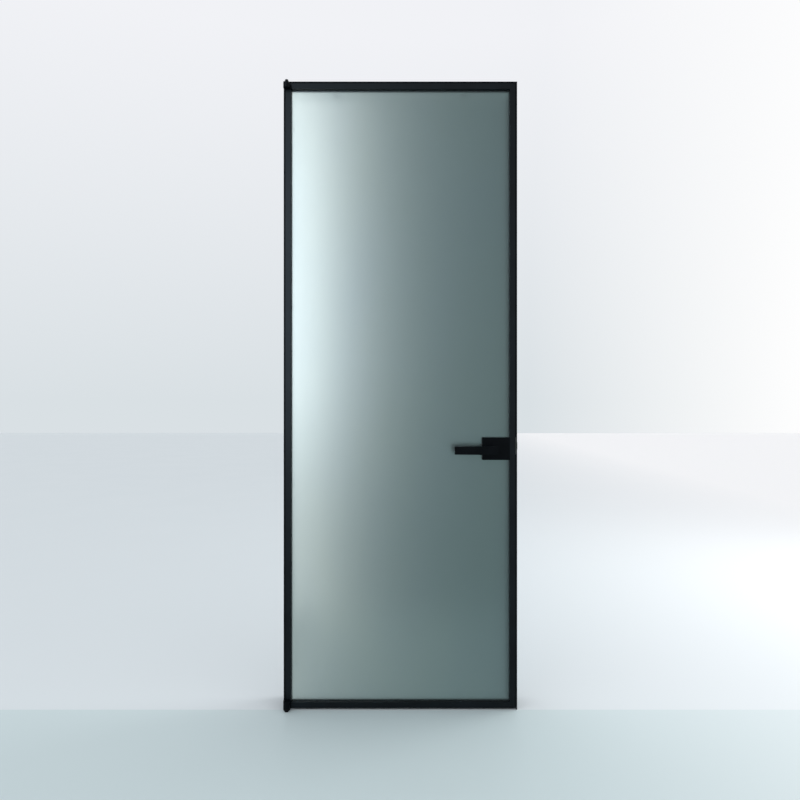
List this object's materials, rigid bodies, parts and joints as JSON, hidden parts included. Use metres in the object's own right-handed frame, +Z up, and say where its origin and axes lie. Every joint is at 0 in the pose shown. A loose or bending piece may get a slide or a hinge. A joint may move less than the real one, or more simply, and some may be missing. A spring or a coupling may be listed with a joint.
{
  "type": "framed glass swing door with jamb",
  "caption": "Slim black aluminium-framed satin glass swing door in its three-sided jamb, on corner pivots, with a lock box, latch and flat lever handles.",
  "frame": {"origin": "on the floor midway between the jambs, in the plane of the wall's front face", "axes": "+X toward the latch side, +Y into the wall, +Z up"},
  "size_m": [0.8944, 0.17, 2.4],
  "materials": {
    "black_finish": "matte",
    "satin_glass": "satin",
    "black_rubber": "matte",
    "black_plastic": "matte",
    "zinc_steel": "satin",
    "bare_aluminium": "satin",
    "bronze": "satin"
  },
  "bodies": {
    "frame": {"jamb_hinge_side": "black_finish", "jamb_latch_side": "black_finish", "jamb_head": "black_finish", "jamb_corner_cleats": "bare_aluminium", "jamb_cleat_screws": "zinc_steel", "jamb_seal_hinge_side": "black_rubber", "jamb_seal_latch_side": "black_rubber", "jamb_seal_head": "black_rubber", "jamb_fixing_caps": "black_plastic", "strike_plate": "zinc_steel", "strike_box": "black_plastic", "strike_screws": "zinc_steel", "upper_frame_bracket": "black_finish", "lower_frame_bracket": "black_finish", "frame_bracket_screws": "zinc_steel", "upper_pivot_pin": "black_finish", "lower_pivot_pin": "zinc_steel", "thrust_washer": "bronze"},
    "leaf": {"hinge_stile": "black_finish", "lock_stile": "black_finish", "top_rail": "black_finish", "bottom_rail": "black_finish", "leaf_corner_cleats": "bare_aluminium", "leaf_corner_screws": "zinc_steel", "floor_seal": "black_rubber", "glass_pane": "satin_glass", "front_glazing_seal": "black_rubber", "rear_glazing_seal": "black_rubber", "glazing_blocks": "black_plastic", "upper_leaf_knuckle": "black_finish", "lower_leaf_knuckle": "black_finish", "leaf_knuckle_screws": "zinc_steel", "upper_pivot_bush": "bronze", "lower_pivot_bush": "bronze", "lock_front_cover": "black_finish", "lock_rear_cover": "black_finish", "front_cover_gasket": "black_rubber", "rear_cover_gasket": "black_rubber", "lock_cover_screws": "zinc_steel", "lock_case": "zinc_steel", "lock_case_lid": "zinc_steel", "lock_faceplate": "black_finish", "faceplate_screws": "zinc_steel", "faceplate_bridges": "zinc_steel", "front_lever_bush": "black_plastic", "rear_lever_bush": "black_plastic", "lever_return_spring": "zinc_steel", "latch_spring": "zinc_steel"},
    "handle": {"front_lever": "black_finish", "rear_lever": "black_finish", "spindle": "zinc_steel", "follower": "zinc_steel", "lever_grub_screws": "zinc_steel"},
    "latch": {"latch_bolt": "zinc_steel"}
  },
  "joints": [
    {"name": "leaf_swing", "type": "hinge", "parent": "frame", "child": "leaf", "pos_m": [-0.432, -0.013, 1.2], "axis": [0, 0, -1], "range_deg": [0, 170]},
    {"name": "handle_turn", "type": "hinge", "parent": "leaf", "child": "handle", "pos_m": [0.351, 0.016, 0.994], "axis": [0, -1, 0], "range_deg": [0, 45], "stiffness_Nm_per_rad": 2, "springref_deg": -28.65},
    {"name": "latch_slide", "type": "slide", "parent": "leaf", "child": "latch", "axis": [-1, 0, 0], "range_m": [0, 0.0121], "deforming": ["latch_spring"]}
  ],
  "couplings": [
    {"joint": "latch_slide", "follows": "handle_turn", "m_per_rad": 0.01528}
  ]
}
